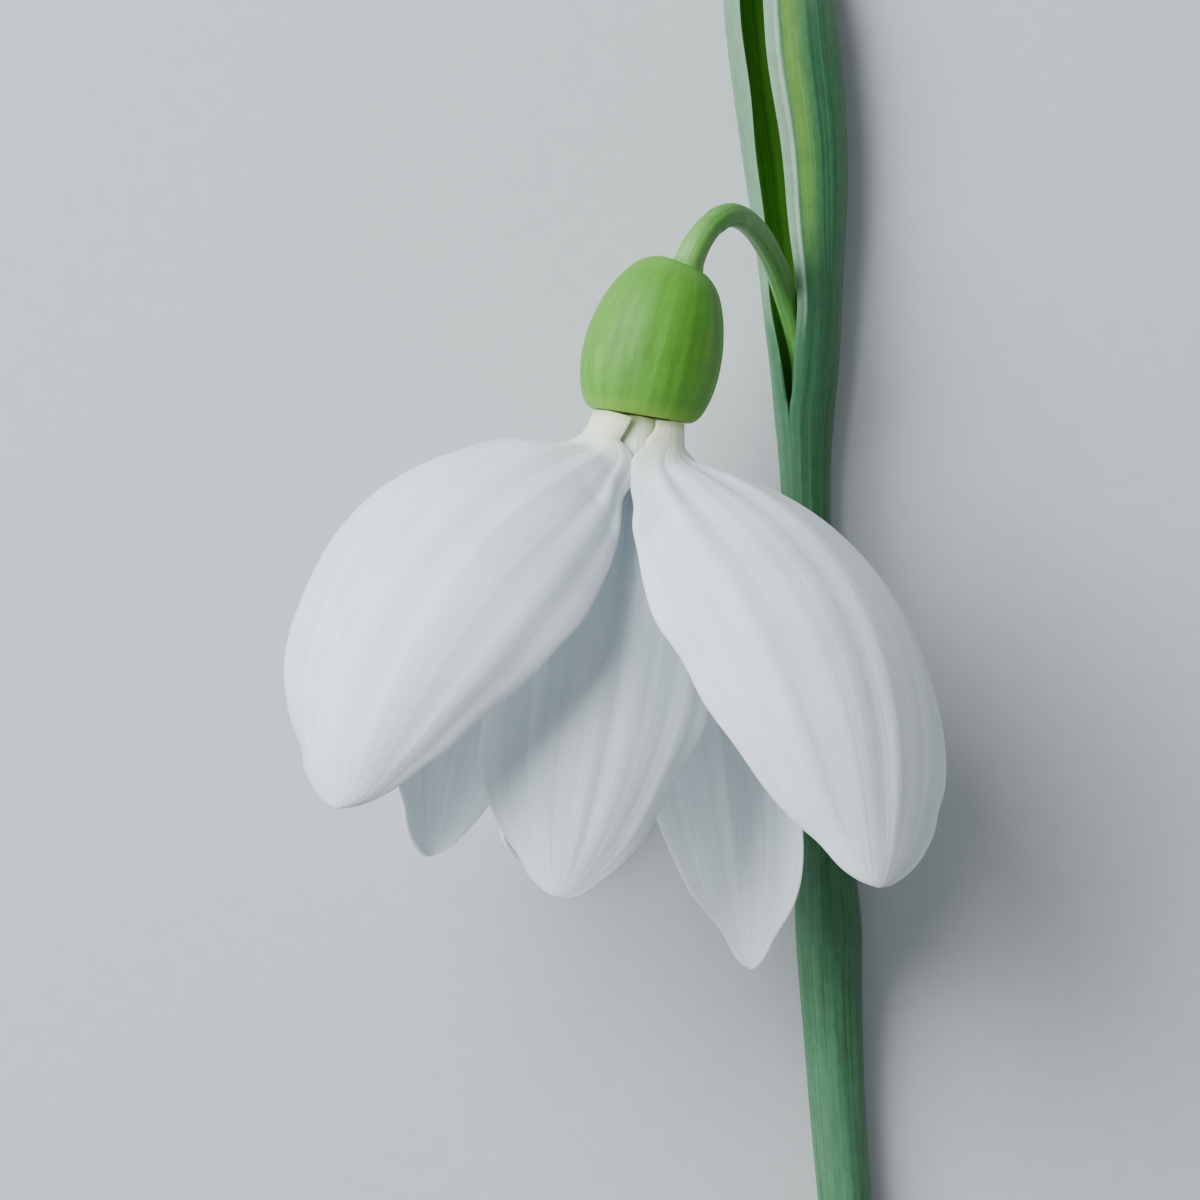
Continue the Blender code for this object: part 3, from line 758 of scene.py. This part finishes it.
def makeStamens():
    look = stamenLook
    lean = math.radians(look["lean"])
    pale = plainFinish("filamentWhite", look["filament"], 0.85, 0.45, 3000)
    orange = plainFinish("antherOrange", look["orange"], 0.75, 0.7, 6500, 0.1)
    for number in range(look["count"]):
        turn = 2 * math.pi * (number + 0.5) / look["count"]
        radial = np.array((math.sin(turn), -math.cos(turn), 0))
        tangent = np.array((math.cos(turn), math.sin(turn), 0))
        forward = math.sin(lean) * radial + math.cos(lean) * down
        foot = look["ring"] * radial + down * (0.5 + look["gap"])
        shares = np.linspace(0, 1, 8)
        centres = foot + forward * look["filamentLength"] * shares[:, None]
        radii = look["filamentRadius"] * (1.0 - 0.12 * np.sin(math.pi * shares))
        points, faces, uvs = ringParts(tubeRings(centres, radii, 16))
        makePiece(f"filament_stalk_{number + 1}", fromHead(points), faces, uvs, [pale],
                  [f"filament_{number + 1}"], "filament_white")
        # two pollen sacs side by side, drawn out to one point
        root = centres[-1] + forward * look["gap"]
        shares = np.concatenate([
            np.linspace(0, 0.1, 6), np.linspace(0.13, 0.9, 22), np.linspace(0.92, 1, 6)])
        radii = look["antherRadius"] * np.interp(
            shares, (0, 0.03, 0.1, 0.25, 0.5, 0.7, 0.88, 0.97, 1),
            (0.35, 0.78, 0.95, 1.0, 0.93, 0.72, 0.38, 0.18, 0.06))
        angles = np.linspace(0, 2 * math.pi, 28, endpoint=False)
        outward = np.cross(forward, tangent)
        rings = []
        for share, radius in zip(shares, radii):
            groove = 1 - 0.22 * np.abs(np.cos(angles)) ** 6 * (1 - share ** 3)
            reach = radius * groove
            rings.append(root + forward * look["antherLength"] * share
                         + (reach * np.sin(angles))[:, None] * tangent
                         + (reach * 0.8 * np.cos(angles))[:, None] * outward)
        points, faces, uvs = ringParts(rings)
        makePiece(f"anther_sac_{number + 1}", fromHead(points), faces, uvs, [orange],
                  [f"anther_{number + 1}"], "anther_orange")
    print("stamens made")


def makeStyle():
    look = styleLook
    shares = np.linspace(0, 1, 40)
    radii = look["radius"] * np.interp(
        shares, (0, 0.2, 0.6, 0.9, 0.97, 1.0), (1.0, 0.85, 0.82, 0.8, 0.5, 0.15))
    centres = down * (0.5 + stamenLook["gap"]) + down * look["length"] * shares[:, None]
    points, faces, uvs = ringParts(tubeRings(centres, radii, 20))
    pale = plainFinish("styleWhite", look["colour"], 0.85, 0.45, 2500)
    makePiece("style_rod", fromHead(points), faces, uvs, [pale], ["style"], "style_white")
    print("style made")


def makeDisc():
    look = discLook
    centres = np.array([down * level for level, radius in look["profile"]])
    rings = tubeRings(centres, [radius for level, radius in look["profile"]], 60,
                      lambda turns, at: 0.03 * np.cos(6 * turns) * at - 0.03 * at)
    points, faces, uvs = ringParts(rings)
    green = plainFinish("discGreen", look["colour"], 0.7, 0.3, 3000)
    makePiece("disc_pad", fromHead(points), faces, uvs, [green], ["nectary_disc"], "disc_green")
    print("disc made")


makeTepals()
makeOvary()
makePedicel()
makeSpathe()
makeScape()
makeStamens()
makeStyle()
makeDisc()


studioLook = {
    "floor": (0.56, 0.575, 0.585),
    "sky": (0.86, 0.93, 1.0),
    "skyStrength": 0.22,
    # place from the flower, size, power, colour
    "lights": {
        "window_light": ((-0.30, 0.18, 0.28), 0.38, 5.6, (0.90, 0.97, 1.0)),
        "fill_light": ((0.35, -0.20, 0.40), 0.40, 0.30, (0.95, 0.98, 1.0)),
        "far_light": ((-0.05, -0.45, 0.25), 0.30, 0.25, (0.92, 0.97, 1.0)),
    },
    "lens": 180,
    "distance": 300,             # from the camera to the flower's axis
}


def makeFloor():
    mesh = bpy.data.meshes.new("studio_floor")
    mesh.from_pydata([(-2, -2, 0), (2, -2, 0), (2, 2, 0), (-2, 2, 0)], [], [(0, 1, 2, 3)])
    material, tree, shader = startMaterial("floorPaper", 0.8)
    grain = noiseOf(tree, placeOf(tree), (900, 900, 900), detail=3)
    base = studioLook["floor"]
    finishColour(tree, shader, rampOf(tree, grain, [(0.3, tuple(c * 0.97 for c in base)), (0.7, base)]))
    mesh.materials.append(material)
    floor = bpy.data.objects.new("studio_floor", mesh)
    bpy.context.scene.collection.objects.link(floor)


def addLight(name, place, target, size, power, colour):
    light = bpy.data.lights.new(name, "AREA")
    light.shape = "SQUARE"
    light.size = size
    light.energy = power
    light.color = colour
    lamp = bpy.data.objects.new(name, light)
    bpy.context.scene.collection.objects.link(lamp)
    place, target = np.array(place, float), np.array(target, float)
    aim = (target - place) / np.linalg.norm(target - place)
    lamp.location = place
    lamp.rotation_euler = (math.acos(-aim[2]), 0, math.atan2(-aim[0], aim[1]))
    return lamp


def makeStudio():
    middle = headPlace * mm
    for name, (place, size, power, colour) in studioLook["lights"].items():
        addLight(name, middle + np.array(place), middle, size, power, colour)
    world = bpy.data.worlds.new("studio")
    world.use_nodes = True
    back = world.node_tree.nodes["Background"]
    back.inputs["Color"].default_value = (*studioLook["sky"], 1.0)
    back.inputs["Strength"].default_value = studioLook["skyStrength"]
    bpy.context.scene.world = world


def makeCamera():
    lens = bpy.data.cameras.new("view")
    lens.lens = studioLook["lens"]
    lens.sensor_width = 36
    lens.clip_start = 0.01
    camera = bpy.data.objects.new("view", lens)
    bpy.context.scene.collection.objects.link(camera)
    camera.location = (plantShift[0] * mm, plantShift[1] * mm,
                       (layout["axisHeight"] + studioLook["distance"]) * mm)
    bpy.context.scene.camera = camera


makeFloor()
makeStudio()
makeCamera()
print("studio made")
